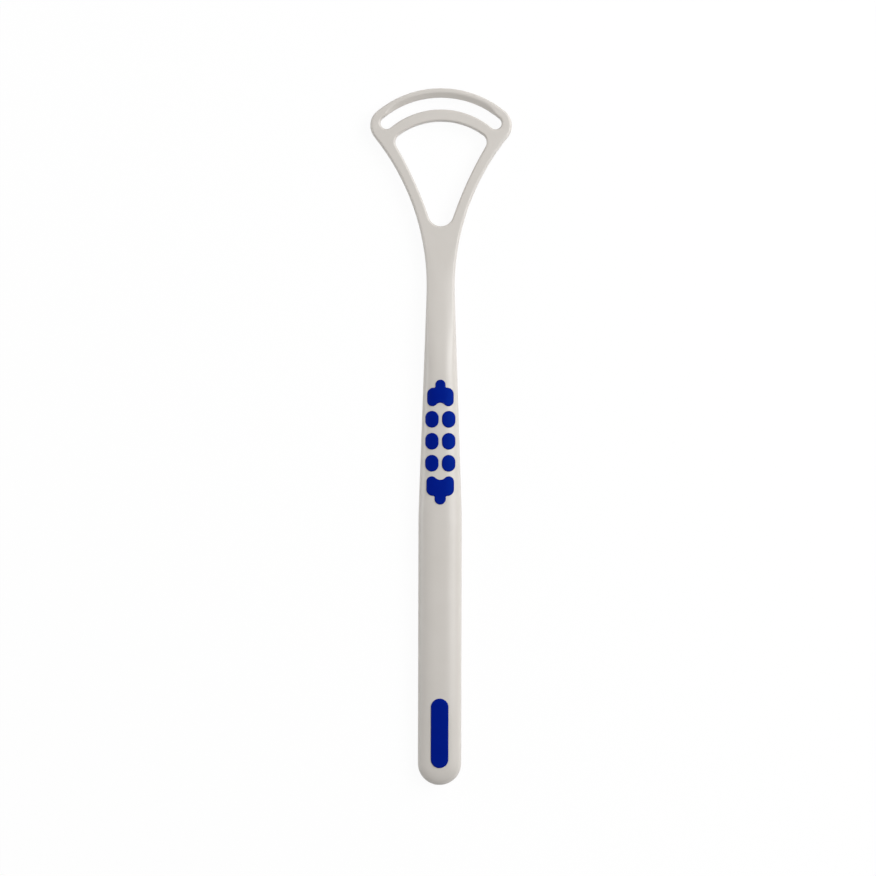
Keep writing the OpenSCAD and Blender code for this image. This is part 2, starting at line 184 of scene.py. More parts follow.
class SCRAPER_PG_pads(PropertyGroup):
    """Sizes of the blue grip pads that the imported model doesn't give"""

    proud: length("Proud height", 0.25, "Height that the pads stand above the handle")
    clearance: length("Clearance", 0.02, "Clearance between a pad and its pocket")
    rim_r: length("Rim radius", 0.24, "Radius of the rolled rim")
    rim_steps: IntProperty(
        name="Rim steps", description="Steps round that rim", default=5, min=1
    )
    mesh_step: length("Mesh step", 0.3, "Distance between the lines of a pad's mesh")
    lobe_r: length("Arrow lobes", 1.3, "Radius of the lobes of the arrow pads")
    notch: length("Arrow notch", 0.85, "Depth of the notch between the lobes")
    upper_knob_w: length("Upper knob width", 2.5, "Width of the knob of the upper arrow")
    upper_knob_l: length("Upper knob length", 1.95, "Length of that knob beyond the shoulders")
    lower_knob_w: length("Lower knob width", 2.75, "Width of the knob of the lower arrow")
    lower_knob_l: length("Lower knob length", 2.1, "Length of that knob beyond the shoulders")
    shoulder_r: length("Arrow shoulders", 1.6, "Radius of the shoulders of the arrow pads")
    hollow_r: length("Arrow hollows", 0.35, "Radius of the hollow between knob and shoulder")


class SCRAPER_PG_finish(PropertyGroup):
    """Colours and surfaces of the two materials"""

    plastic: colour("White plastic", (0.594, 0.564, 0.528), "Colour of the moulding")
    plastic_shade: colour("Plastic shade", (0.574, 0.544, 0.506), "Colour of its faint clouding")
    plastic_roughness: share_range("Plastic roughness", (0.31, 0.37), "Roughness of the moulding")
    plastic_specular: share("Plastic specular", 0.5, "Specular level of the moulding")
    plastic_gloss: colour("Plastic gloss", (1, 1, 1), "Tint of the moulding's gloss")
    rubber: colour("Blue rubber", (0.0004, 0.007, 0.21), "Colour of the pads")
    rubber_shade: colour("Rubber shade", (0.0003, 0.006, 0.195), "Colour of its faint clouding")
    rubber_roughness: share_range("Rubber roughness", (0.51, 0.59), "Roughness of the pads")
    rubber_specular: share("Rubber specular", 0.3, "Specular level of the pads")
    rubber_gloss: colour("Rubber gloss", (0.03, 0.26, 1), "Tint of the pads' gloss")


class SCRAPER_PG_stage(PropertyGroup):
    """The studio: where the camera stands, and the lamps"""

    photo_size: IntProperty(
        name="Photo size", description="Width and height of the photograph, in pixels", default=876
    )
    crest_row: FloatProperty(
        name="Crest row", description="Row of the photograph at the crest of the head", default=88.3
    )
    tail_row: FloatProperty(
        name="Tail row", description="Row of the photograph at the tail end", default=784.8
    )
    axis_column: FloatProperty(
        name="Axis column", description="Column of the tool's middle, half way along", default=440.3
    )
    lean: degrees("Lean", 0.14, "Angle that the tool leans to the right in the photograph")
    lens: FloatProperty(
        name="Lens", description="Focal length of the camera in millimetres", default=100
    )
    lamp_distance: length("Lamp distance", 800, "Distance from the tool to each lamp")
    lamp_size: length("Lamp size", 500, "Width and height of each lamp")
    key_azimuth: degrees("Key azimuth", 15, "Direction of the high lamp, round from the right")
    key_height: degrees("Key height", 55, "Angle of the high lamp above the floor")
    key_power: power("Key power", 4.1, "Power of the high lamp")
    side_azimuth: degrees("Side azimuth", 35, "Direction of the low lamp, round from the right")
    side_height: degrees("Side height", 35, "Angle of the low lamp above the floor")
    side_power: power("Side power", 3.2, "Power of the low lamp")
    fill_azimuth: degrees("Fill azimuth", 170, "Direction of the fill lamp, round from the right")
    fill_height: degrees("Fill height", 12, "Angle of the fill lamp above the floor")
    fill_power: power("Fill power", 2.8, "Power of the fill lamp")
    world_strength: FloatProperty(
        name="World", description="Strength of the even light from all round", default=0.2, min=0
    )
    floor_r: length("Floor radius", 3000, "Radius of the floor, up to the cove")
    cove_r: length("Cove radius", 600, "Radius of the cove between floor and wall")
    wall_h: length("Wall height", 500, "Height of the wall above the cove")
    floor_gap: length("Floor gap", 0.02, "Distance from the tool's back to the floor")
    paper: colour("Paper", (0.95, 0.95, 0.95), "Colour of the floor and the wall")
    backdrop_glow: share("Backdrop glow", 0.95, "Share of plain white in the backdrop as seen")


def heading(start, end):
    """Direction from one point to another"""
    return math.atan2(end.y - start.y, end.x - start.x)


def polar(radius, angle):
    """Point at a distance and direction from the origin"""
    return Vector((radius * math.cos(angle), radius * math.sin(angle)))


def circles_meet(a, a_r, b, b_r):
    """Upper crossing of two circles"""
    gap = (b - a).length
    along = (a_r ** 2 - b_r ** 2 + gap ** 2) / (2 * gap)
    across = math.sqrt(a_r ** 2 - along ** 2)
    unit = (b - a) / gap
    return a + along * unit + across * Vector((unit.y, -unit.x))


def ease(x):
    """Soft step from 0 to 1"""
    x = min(1, max(0, x))
    return x * x * (3 - 2 * x)


def work_out_plan(sizes):
    """Works out the centres and angles of the moulding's outline, counted from its tail end"""
    plan = SimpleNamespace()
    plan.tail_r = sizes.handle_w / 2
    plan.tail_c = Vector((0, plan.tail_r))
    plan.neck_y = LENGTH - sizes.neck_to_crest - sizes.neck_l
    plan.crest_c = Vector((0, LENGTH - sizes.crest_r))
    lobe_x = HEAD_W / 2 - sizes.lobe_r
    lobe_y = math.sqrt((sizes.crest_r - sizes.lobe_r) ** 2 - lobe_x ** 2)
    plan.lobe_c = plan.crest_c + Vector((lobe_x, lobe_y))

    # The hollow flank runs through the waist and touches the lobe from outside
    waist = Vector((sizes.waist_w / 2, LENGTH - sizes.waist_to_crest))
    to_lobe = plan.lobe_c - waist
    plan.flank_r = (to_lobe.length_squared - sizes.lobe_r ** 2) / (2 * (sizes.lobe_r + to_lobe.x))
    plan.flank_c = waist + Vector((plan.flank_r, 0))

    # The taper is the line from the shoulder that touches the flank
    shoulder = Vector((plan.tail_r, LENGTH - sizes.shoulder_to_crest))
    to_flank = plan.flank_c - shoulder
    plan.taper_angle = (
        math.atan2(to_flank.y, to_flank.x)
        + math.asin(plan.flank_r / to_flank.length) - math.pi / 2
    )
    along = Vector((-math.sin(plan.taper_angle), math.cos(plan.taper_angle)))
    tangent_l = sizes.shoulder_r * math.tan(plan.taper_angle / 2)
    plan.shoulder_start = shoulder - Vector((0, tangent_l))
    plan.shoulder_c = plan.shoulder_start - Vector((sizes.shoulder_r, 0))
    plan.taper_start = shoulder + tangent_l * along
    plan.taper_end = plan.flank_c + polar(plan.flank_r, math.pi + plan.taper_angle)

    # Centres of the arcs that bound the window, each touching the next
    plan.window_top_c = Vector(
        (0, LENGTH - sizes.outer_bar_w - sizes.slot_w - sizes.inner_bar_w - sizes.window_top_r)
    )
    arm_angle = math.pi - math.asin((LENGTH - sizes.arm_to_crest - plan.flank_c.y) / plan.flank_r)
    plan.side_c = plan.flank_c + polar(plan.flank_r + sizes.arm_w - sizes.window_side_r, arm_angle)
    foot_rise = math.sqrt((sizes.window_side_r + sizes.window_foot_r) ** 2 - plan.side_c.x ** 2)
    plan.foot_c = Vector((0, plan.side_c.y + foot_rise))
    plan.corner_c = circles_meet(
        plan.side_c, sizes.window_side_r + sizes.window_corner_r,
        plan.window_top_c, sizes.window_top_r - sizes.window_corner_r
    )

    # The slot follows the outer arc. The ridge above its bevel runs beside it, then turns in on
    # a smaller arc and runs out at the slot's end.
    plan.slot_outer_r = sizes.crest_r - sizes.outer_bar_w
    slot_end = heading(plan.crest_c, plan.lobe_c)
    plan.slot_half_angle = math.pi / 2 - slot_end
    plan.slot_end_c = plan.crest_c + polar(plan.slot_outer_r - sizes.slot_w / 2, slot_end)
    plan.ridge_r = plan.slot_outer_r + sizes.bevel_w
    bevel_end = slot_end + sizes.bevel_end_angle
    plan.turn_in = math.pi / 2 - sizes.bevel_full_angle
    shift = sizes.bevel_w * (plan.slot_outer_r + plan.ridge_r) / (
        2 * (plan.ridge_r - plan.slot_outer_r * math.cos(plan.turn_in - bevel_end))
    )
    plan.ridge_end_r = plan.ridge_r - shift
    plan.ridge_end_c = plan.crest_c + polar(shift, plan.turn_in)
    plan.ridge_end_angle = heading(
        plan.ridge_end_c, plan.crest_c + polar(plan.slot_outer_r, bevel_end)
    )
    return plan


def half_thickness(sizes, plan, y):
    """Half the thickness of the moulding at a distance from its tail end"""
    if y < plan.neck_y:
        return (sizes.tail_t + (GRIP_T - sizes.tail_t) * ease(y / sizes.tail_l)) / 2
    return (GRIP_T - (GRIP_T - sizes.head_t) * ease((y - plan.neck_y) / sizes.neck_l)) / 2


def crown(sizes, plan, x, y):
    """Height of the handle's front above the middle of its thickness, at a place on the grip"""
    taper = plan.taper_end - plan.taper_start
    width = min(plan.tail_r, plan.taper_start.x + taper.x * (y - plan.taper_start.y) / taper.y)
    depth = width - abs(x)
    if y < plan.tail_r:
        depth = plan.tail_r - math.hypot(x, y - plan.tail_r)
    flat = min(1, max(0, depth / (width - sizes.front_land_w / 2)))
    rise = (1 - (1 - flat) ** sizes.squareness) ** (1 / sizes.squareness)
    return half_thickness(sizes, plan, y) * rise


def turn(centre, start, end, radius, sizes):
    """Leg that turns about a centre from one direction to another. The steps of a wide arc may be
    twice as long as those of a straight leg."""
    step = min(sizes.turn_step, 2 * sizes.step_l / radius)
    steps = max(LEAST_TURN_STEPS, round(abs(end - start) / step))
    return Leg(centre, end - start, Vector((0, 0)), steps)


def run(vector, sizes):
    """Straight leg"""
    return Leg(None, 0, vector, max(1, round(vector.length / sizes.step_l)))


def chain(bm, points):
    """Joins a few points into a chain, and marks each with its row"""
    row = bm.verts.layers.int.get("row") or bm.verts.layers.int.new("row")
    verts = [bm.verts.new(point) for point in points]
    for i, vert in enumerate(verts):
        vert[row] = i
    edges = [bm.edges.new(pair) for pair in zip(verts, verts[1:])]
    return verts + edges


def sweep(bm, geom, legs):
    """Carries a chain along the legs, skinning as it goes, and returns the ring at each step"""
    row = bm.verts.layers.int["row"]
    rings = []
    for leg in legs:
        for _ in range(leg.steps):
            rings.append(sorted_ring(geom, row))
            geom = bmesh.ops.spin(
                bm, geom=geom, cent=(leg.centre or Vector((0, 0))).to_3d(), axis=(0, 0, 1),
                dvec=(leg.run / leg.steps).to_3d(), angle=leg.turn / leg.steps, steps=1,
                use_merge=False, use_duplicate=False
            )["geom_last"]
    return rings + [sorted_ring(geom, row)]


def sorted_ring(geom, row):
    """The vertices of a ring, in the order of their rows"""
    return sorted((g for g in geom if isinstance(g, bmesh.types.BMVert)), key=lambda v: v[row])


def mirror_and_weld(bm):
    """Adds the left half of a right half, and joins them"""
    bmesh.ops.mirror(
        bm, geom=bm.verts[:] + bm.edges[:] + bm.faces[:], matrix=Matrix.Identity(4),
        merge_dist=WELD, axis="X"
    )
    bmesh.ops.remove_doubles(bm, verts=bm.verts[:], dist=WELD)


def close(bm):
    """Fills every open loop, and turns the faces outwards"""
    bmesh.ops.edgeloop_fill(bm, edges=[e for e in bm.edges if e.is_boundary])
    bmesh.ops.recalc_face_normals(bm, faces=bm.faces[:])


def make_object(bm, name):
    """Puts a finished bmesh into an object of its own"""
    mesh = bpy.data.meshes.new(name)
    bm.to_mesh(mesh)
    bm.free()
    piece = bpy.data.objects.new(name, mesh)
    bpy.context.scene.collection.objects.link(piece)
    return piece


def outline_legs(sizes, plan):
    """Right half of the moulding's outline, from the tail end to the crest"""
    to_lobe = heading(plan.flank_c, plan.lobe_c)
    lobe_end = heading(plan.crest_c, plan.lobe_c)
    return [
        turn(plan.tail_c, -math.pi / 2, 0, plan.tail_r, sizes),
        run(plan.shoulder_start - Vector((plan.tail_r, plan.tail_r)), sizes),
        turn(plan.shoulder_c, 0, plan.taper_angle, sizes.shoulder_r, sizes),
        run(plan.taper_end - plan.taper_start, sizes),
        turn(plan.flank_c, math.pi + plan.taper_angle, to_lobe, plan.flank_r, sizes),
        turn(plan.lobe_c, to_lobe - math.pi, lobe_end, sizes.lobe_r, sizes),
        turn(plan.crest_c, lobe_end, math.pi / 2, sizes.crest_r, sizes),
    ]


def window_legs(sizes, plan):
    """Right half of the window, from its foot to its top"""
    from_foot = heading(plan.foot_c, plan.side_c)
    to_corner = heading(plan.side_c, plan.corner_c)
    corner_end = heading(plan.window_top_c, plan.corner_c)
    return [
        turn(plan.foot_c, -math.pi / 2, from_foot, sizes.window_foot_r, sizes),
        turn(plan.side_c, from_foot + math.pi, to_corner, sizes.window_side_r, sizes),
        turn(plan.corner_c, to_corner - math.pi, corner_end, sizes.window_corner_r, sizes),
        turn(plan.window_top_c, corner_end, math.pi / 2, sizes.window_top_r, sizes),
    ]


def slot_legs(sizes, plan):
    """Right half of the slot, from the middle of its outer wall round its end to the inner wall"""
    return [
        turn(plan.crest_c, 0, -plan.slot_half_angle, sizes.crest_r, sizes),
        turn(plan.slot_end_c, 0, -math.pi, sizes.slot_w / 2, sizes),
        turn(plan.crest_c, 0, plan.slot_half_angle, sizes.crest_r, sizes),
    ]


def oval_legs(pad_w, pad_l, sizes):
    """Right half of an oval with straight sides, from its lower end to its upper end"""
    r = pad_w / 2
    return [
        turn(Vector((0, r)), 0, math.pi / 2, r, sizes),
        run(Vector((0, pad_l - pad_w)), sizes),
        turn(Vector((0, pad_l - r)), 0, math.pi / 2, r, sizes),
    ]


def arrow_legs(pad_w, pad_l, knob_w, knob_l, pads, sizes):
    """Right half of an arrow that points along Y, from its notch to the tip of its knob"""
    # The centres of its arcs: lobe, notch, hollow beside the knob, shoulder corner and knob
    lobe = Vector((pad_w / 2 - pads.lobe_r, pads.lobe_r))
    notch_r = (lobe.x ** 2 + pads.notch ** 2) / (2 * pads.notch) - pads.lobe_r
    notch_c = Vector((0, pads.notch - notch_r))
    top = pad_l - knob_l
    half_knob = knob_w / 2
    hollow = Vector((half_knob + pads.hollow_r, top + pads.hollow_r))
    corner_r = min(pads.shoulder_r, pad_w / 2 - hollow.x, top - lobe.y)
    corner = Vector((pad_w / 2 - corner_r, top - corner_r))
    knob_c = Vector((0, pad_l - half_knob))
    to_lobe = heading(notch_c, lobe)
    return [
        turn(notch_c, math.pi / 2, to_lobe, notch_r, sizes),
        turn(lobe, to_lobe - math.pi, 0, pads.lobe_r, sizes),
        run(Vector((0, corner.y - lobe.y)), sizes),
        turn(corner, 0, math.pi / 2, corner_r, sizes),
        run(Vector((hollow.x - corner.x, 0)), sizes),
        turn(hollow, 0, -math.pi / 2, pads.hollow_r, sizes),
        run(Vector((0, knob_c.y - hollow.y)), sizes),
        turn(knob_c, 0, math.pi / 2, half_knob, sizes),
    ]


def rounding(step, steps, sizes):
    """Depth and height of a rounding at a step, as shares of its reach and of the thickness"""
    angle = math.pi / 2 * min(1, step / steps)
    exponent = 2 / sizes.squareness
    return 1 - max(0, math.cos(angle)) ** exponent, math.sin(angle) ** exponent


def skin(sizes, plan):
    """The moulding before anything is cut out of it: a section carried along the outline"""
    bm = bmesh.new()
    steps = sizes.section_steps
    section = [
        Vector((0, sizes.head_edge * abs(k) / steps, -k / steps)) for k in range(-steps, steps + 1)
    ]
    rings = sweep(bm, chain(bm, section), outline_legs(sizes, plan))
    for ring in rings:
        stretch_section(ring, sizes, plan)

    # The lands between the two sides, front and back, run straight across to the middle
    row = bm.verts.layers.int["row"]
    for end in (0, 2 * steps):
        edges = [e for e in bm.edges if all(v[row] == end for v in e.verts)]
        out = bmesh.ops.extrude_edge_only(bm, edges=edges)["geom"]
        for vert in (g for g in out if isinstance(g, bmesh.types.BMVert)):
            vert.co.x = 0
    mirror_and_weld(bm)
    close(bm)
    return bm


def stretch_section(ring, sizes, plan):
    """Gives a ring the depth and height that the moulding has there. On the handle one rounding
    runs from the edge to the land. On the neck a small rounding is followed by a low crown, which
    is gone at the head."""
    steps = sizes.section_steps
    edge = ring[steps].co.copy()
    inward = ring[0].co - edge
    inward.z = 0
    inward.normalize()
    waist_y = plan.flank_c.y
    neckward = ease((edge.y - plan.neck_y) / (waist_y - plan.neck_y))
    headward = ease((edge.y - waist_y) / (plan.neck_y + sizes.neck_l - waist_y))
    half_w = max(edge.x, plan.tail_r if edge.y < plan.tail_r else 0)
    for i, vert in enumerate(ring):
        land_w = sizes.front_land_w if i < steps else sizes.back_land_w
        reach = half_w - land_w / 2
        flat_w = max(sizes.head_flat, (reach - sizes.head_edge) * (1 - headward))
        crown_h = math.tan(sizes.waist_tilt) * flat_w / 2 * (1 - headward)
        crown_share = crown_h / half_thickness(sizes, plan, edge.y)
        step = abs(steps - i)
        inner = max(0, step - sizes.edge_steps) / (steps - sizes.edge_steps)
        handle_depth, handle_height = rounding(step, steps, sizes)
        edge_depth, edge_height = rounding(step, sizes.edge_steps, sizes)
        neck_depth = edge_depth * sizes.head_edge + inner * flat_w
        neck_height = edge_height * (1 - crown_share * (1 - inner) ** 2)
        depth = handle_depth * reach * (1 - neckward) + neck_depth * neckward
        height = handle_height * (1 - neckward) + neck_height * neckward
        vert.co = edge + depth * inward
        vert.co.z = math.copysign(height, steps - i) * half_thickness(sizes, plan, vert.co.y)


def opening(sizes, start, wall, legs):
    """Cutter for an opening in the head, whose rims are rounded front and back. Its outline begins
    at the start, where the wall points out of the opening."""
    bm = bmesh.new()
    half_t = sizes.head_t / 2
    steps = sizes.rim_steps
    mouth = [(sizes.rim_edge, half_t + OVERRUN)]
    for face in (1, -1):
        for i in range(steps + 1):
            angle = math.pi / 2 * (steps - i if face > 0 else i) / steps
            offset = sizes.rim_edge * (1 - math.cos(angle))
            drop = sizes.rim_edge * (1 - math.sin(angle))
            mouth.append((offset, face * (half_t + RUN_OUT - drop)))
    mouth.append((sizes.rim_edge, -half_t - OVERRUN))
    section = [(start + offset * wall).to_3d() + Vector((0, 0, z)) for offset, z in mouth]
    sweep(bm, chain(bm, section), legs)
    mirror_and_weld(bm)
    close(bm)
    return bm


def bevels(sizes, plan):
    """Cutter for the bevels on both faces of the outer bar, which leave a lip at the slot. Their
    rounded ridge runs beside the slot, then turns in on a smaller arc and runs out at its end. The
    section is written as offsets from the ridge and heights."""
    bm = bmesh.new()
    slope = math.atan2((sizes.head_t - sizes.lip_t) / 2, sizes.bevel_w)
    inner = -sizes.bevel_w - BEVEL_LAP
    face = sizes.head_t / 2 + RUN_OUT
    ridge_c = Vector((
        RUN_OUT / math.tan(slope) + sizes.ridge_rounding * math.tan(slope / 2),
        face - sizes.ridge_rounding,
    ))
    section = [Vector((inner, sizes.lip_t / 2 - BEVEL_LAP * math.tan(slope)))]
    for i in range(sizes.ridge_steps + 1):
        angle = math.pi / 2 + slope * (1 - i / sizes.ridge_steps)
        section.append(ridge_c + polar(sizes.ridge_rounding, angle))
    section += [Vector((ridge_c.x, face + OVERRUN)), Vector((inner, face + OVERRUN))]

    start = plan.ridge_end_angle - BEVEL_LAP_ANGLE
    geom = chain(bm, [
        (*(plan.ridge_end_c + polar(plan.ridge_end_r + offset, start)), z)
        for offset, z in section
    ])
    geom.append(bm.edges.new((geom[len(section) - 1], geom[0])))
    sweep(bm, geom, [
        turn(plan.ridge_end_c, start, plan.turn_in, plan.ridge_end_r, sizes),
        turn(plan.crest_c, plan.turn_in, math.pi / 2, plan.ridge_r, sizes),
    ])
    mirror_and_weld(bm)
    close(bm)
    bmesh.ops.mirror(
        bm, geom=bm.verts[:] + bm.edges[:] + bm.faces[:], matrix=Matrix.Identity(4), axis="Z"
    )
    bmesh.ops.recalc_face_normals(bm, faces=bm.faces[:])
    return bm


def pocket(node, pads, sizes):
    """Column of space for a pad, from the floor of its pocket to above the handle"""
    bm = bmesh.new()
    start, legs = pad_outline(node, pads, sizes)
    sweep(bm, chain(bm, [(0, start, GRIP_T / 2 + OVERRUN), (0, start, pocket_floor(node))]), legs)
    mirror_and_weld(bm)
    close(bm)
    place_pad(bm, node, pads)
    return bm


def pocket_floor(node):
    """Height of the floor of a pad's pocket above the middle of the thickness"""
    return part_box(node)[0].z - GRIP_T / 2


def pad_outline(node, pads, sizes):
    """Start and legs of the outline of a pad's pocket, which the pad follows with its clearance"""
    low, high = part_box(node)
    pad_w = high.x - low.x + 2 * pads.clearance
    pad_l = high.y - low.y + 2 * pads.clearance
    knobs = {
        "upper_arrow_pad": (pads.upper_knob_w, pads.upper_knob_l),
        "lower_arrow_pad": (pads.lower_knob_w, pads.lower_knob_l),
    }
    if node in knobs:
        return pads.notch, arrow_legs(pad_w, pad_l, *knobs[node], pads, sizes)
    return 0, oval_legs(pad_w, pad_l, sizes)


def place_pad(bm, node, pads):
    """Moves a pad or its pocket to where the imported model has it, counted from the tail end"""
    low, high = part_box(node)
    if node == "lower_arrow_pad":
        bmesh.ops.scale(bm, vec=(1, -1, 1), verts=bm.verts[:])
        bmesh.ops.recalc_face_normals(bm, faces=bm.faces[:])
        start = high.y + pads.clearance
    else:
        start = low.y - pads.clearance
    bmesh.ops.translate(
        bm, verts=bm.verts[:], vec=((low.x + high.x) / 2, start + LENGTH / 2, 0)
    )


def lay_down(bm):
    """Moves a piece from the tail end and mid-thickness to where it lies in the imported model"""
    bmesh.ops.translate(bm, verts=bm.verts[:], vec=(0, -LENGTH / 2, GRIP_T / 2))


def carve(piece, cutters):
    """Cuts each cutter out of a piece, in order, and removes the cutters"""
    for cutter in cutters:
        cut = piece.modifiers.new(cutter.name, "BOOLEAN")
        cut.operation = "DIFFERENCE"
        cut.solver = "EXACT"
        cut.object = cutter
    evaluated = piece.evaluated_get(bpy.context.evaluated_depsgraph_get())
    carved = bpy.data.meshes.new_from_object(evaluated)
    piece.modifiers.clear()
    piece.data = carved
    for cutter in cutters:
        bpy.data.objects.remove(cutter)


def finish_piece(piece, node, material, crease):
    """Smooths a piece up to a crease angle, gives it its material and seats it in the frame"""
    mesh = piece.data
    mesh.shade_smooth()
    mesh.set_sharp_from_angle(angle=crease)
    mesh.materials.clear()
    mesh.materials.append(material)
    weighted = piece.modifiers.new("weighted_normals", "WEIGHTED_NORMAL")
    weighted.keep_sharp = True
    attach(piece, "root")
    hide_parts(node)


def empty_material(name):
    """A material with no nodes, and a function that adds them: values without a name fill the
    node's sockets in their order"""
    material = bpy.data.materials.get(name) or bpy.data.materials.new(name)
    material.use_nodes = True
    tree = material.node_tree
    tree.nodes.clear()

    def add(kind, *in_order, **by_name):
        node = tree.nodes.new(kind)
        named = ((node.inputs[key.replace("_", " ")], value) for key, value in by_name.items())
        for socket, value in (*zip(node.inputs, in_order), *named):
            if isinstance(value, bpy.types.NodeSocket):
                tree.links.new(value, socket)
            else:
                socket.default_value = value
        return node

    return material, add


def moulded_material(name, polymer, cloud_l, grain_l, grain_h):
    """Moulded polymer with faint clouding in its colour, an uneven gloss and a fine grain. Its
    values are the finish properties that start with the polymer's name."""
    finish = bpy.context.scene.scraper_finish
    tone, shade, roughness, specular, tint = (
        getattr(finish, polymer + ending)
        for ending in ("", "_shade", "_roughness", "_specular", "_gloss")
    )
    material, add = empty_material(name)
    place = add("ShaderNodeTexCoord").outputs["Object"]
    clouds = add("ShaderNodeTexNoise", Vector=place, Scale=1 / cloud_l, Detail=3, Roughness=0.55)
    grain = add("ShaderNodeTexNoise", Vector=place, Scale=1 / grain_l, Detail=2, Roughness=0.5)
    ramp = add("ShaderNodeValToRGB", clouds.outputs["Fac"])
    for stop, position, rgb in zip(ramp.color_ramp.elements, CLOUD_RANGE, (tone, shade)):
        stop.position = position
        stop.color = (*rgb, 1)
    gloss = add(
        "ShaderNodeMapRange", Value=clouds.outputs["Fac"], From_Min=CLOUD_RANGE[0],
        From_Max=CLOUD_RANGE[1], To_Min=roughness[0], To_Max=roughness[1]
    )
    bump = add("ShaderNodeBump", Height=grain.outputs["Fac"], Strength=0.6, Distance=grain_h)
    shader = add(
        "ShaderNodeBsdfPrincipled", Base_Color=ramp.outputs["Color"],
        Roughness=gloss.outputs["Result"], Specular_IOR_Level=specular,
        Specular_Tint=(*tint, 1), Normal=bump.outputs["Normal"]
    )
    add("ShaderNodeOutputMaterial", Surface=shader.outputs["BSDF"])
    return material


def white_plastic():
    """Satin white polypropylene"""
    return moulded_material(
        "white_plastic", "plastic", cloud_l=9 * MM, grain_l=0.12 * MM, grain_h=0.002 * MM
    )


def blue_rubber():
    """Matt soft-touch rubber"""
    return moulded_material(
        "blue_rubber", "rubber", cloud_l=3 * MM, grain_l=0.1 * MM, grain_h=0.004 * MM
    )


class SCRAPER_OT_moulding(Operator):
    """Model the white moulding: handle, neck, arms and the two scraping bars"""

    bl_idname = "scraper.moulding"
    bl_label = "Moulding"
    bl_options = {"REGISTER", "UNDO"}

    def execute(self, context):
        sizes = context.scene.scraper_moulding
        pads = context.scene.scraper_pads
        plan = work_out_plan(sizes)
        foot = plan.foot_c - Vector((0, sizes.window_foot_r))
        slot_top = plan.crest_c + Vector((0, plan.slot_outer_r))
        cutters = {
            "window": opening(sizes, foot, Vector((0, -1)), window_legs(sizes, plan)),
            "slot": opening(sizes, slot_top, Vector((0, 1)), slot_legs(sizes, plan)),
            "bevels": bevels(sizes, plan),
        }
        for node in ("upper_arrow_pad", *DOTS, "lower_arrow_pad", "tail_pad"):
            cutters[node + "_pocket"] = pocket(node, pads, sizes)
        piece = make_object(skin(sizes, plan), "body")
        carve(piece, [make_object(bm, name) for name, bm in cutters.items()])
        bm = bmesh.new()
        bm.from_mesh(piece.data)
        bmesh.ops.remove_doubles(bm, verts=bm.verts[:], dist=WELD)
        # The cuts leave a vertex here and there in the middle of a straight edge
        bmesh.ops.dissolve_verts(bm, verts=[v for v in bm.verts if len(v.link_edges) == 2])
        lay_down(bm)
        bm.to_mesh(piece.data)
        bm.free()
        finish_piece(piece, "moulding", white_plastic(), MOULDING_CREASE)
        return {"FINISHED"}


def model_pad(context, node):
    """A pad: a rolled rim carried round its outline, filled, and crowned like the handle"""
    sizes = context.scene.scraper_moulding
    pads = context.scene.scraper_pads
    plan = work_out_plan(sizes)
    bm = bmesh.new()
    start, legs = pad_outline(node, pads, sizes)
    floor = pocket_floor(node)
    top = GRIP_T / 2 + pads.proud
    rim = []
    for i in range(pads.rim_steps + 1):
        angle = math.pi / 2 * i / pads.rim_steps
        inset = pads.clearance + pads.rim_r * (1 - math.sin(angle))
        rim.append((inset, top - pads.rim_r * (1 - math.cos(angle))))
    rim.append((pads.clearance, floor))
    sweep(bm, chain(bm, [(0, start + inset, z) for inset, z in rim]), legs)
    mirror_and_weld(bm)
    above = [e for e in bm.edges if min(v.co.z for v in e.verts) > floor + WELD]
    bmesh.ops.edgeloop_fill(bm, edges=[e for e in above if e.is_boundary])
    place_pad(bm, node, pads)
    low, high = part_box(node)
    for normal, begin, end in (
        (Vector((1, 0, 0)), low.x, high.x),
        (Vector((0, 1, 0)), low.y + LENGTH / 2, high.y + LENGTH / 2),
    ):
        count = math.ceil((end - begin) / pads.mesh_step)
        for i in range(1, count):
            bmesh.ops.bisect_plane(
                bm, geom=bm.verts[:] + bm.edges[:] + bm.faces[:], dist=WELD,
                plane_co=normal * (begin + (end - begin) * i / count), plane_no=normal
            )
    for vert in bm.verts:
        if vert.co.z > floor + WELD:
            vert.co.z += crown(sizes, plan, vert.co.x, vert.co.y) - GRIP_T / 2
    close(bm)
    lay_down(bm)
    piece = make_object(bm, node.removesuffix("_pad") + "_rubber")
    finish_piece(piece, node, blue_rubber(), PAD_CREASE)


class SCRAPER_OT_arrow_pads(Operator):
    """Model the two arrow pads at either end of the grip"""

    bl_idname = "scraper.arrow_pads"
    bl_label = "Arrow Pads"
    bl_options = {"REGISTER", "UNDO"}

    def execute(self, context):
        for node in ("upper_arrow_pad", "lower_arrow_pad"):
            model_pad(context, node)
        return {"FINISHED"}


class SCRAPER_OT_dots(Operator):
    """Model the six oval dots of the grip"""

    bl_idname = "scraper.dots"
    bl_label = "Grip Dots"
    bl_options = {"REGISTER", "UNDO"}

    def execute(self, context):
        for node in DOTS:
            model_pad(context, node)
        return {"FINISHED"}


class SCRAPER_OT_tail_pad(Operator):
    """Model the long pad near the tail end"""

    bl_idname = "scraper.tail_pad"
    bl_label = "Tail Pad"
    bl_options = {"REGISTER", "UNDO"}

    def execute(self, context):
        model_pad(context, "tail_pad")
        return {"FINISHED"}


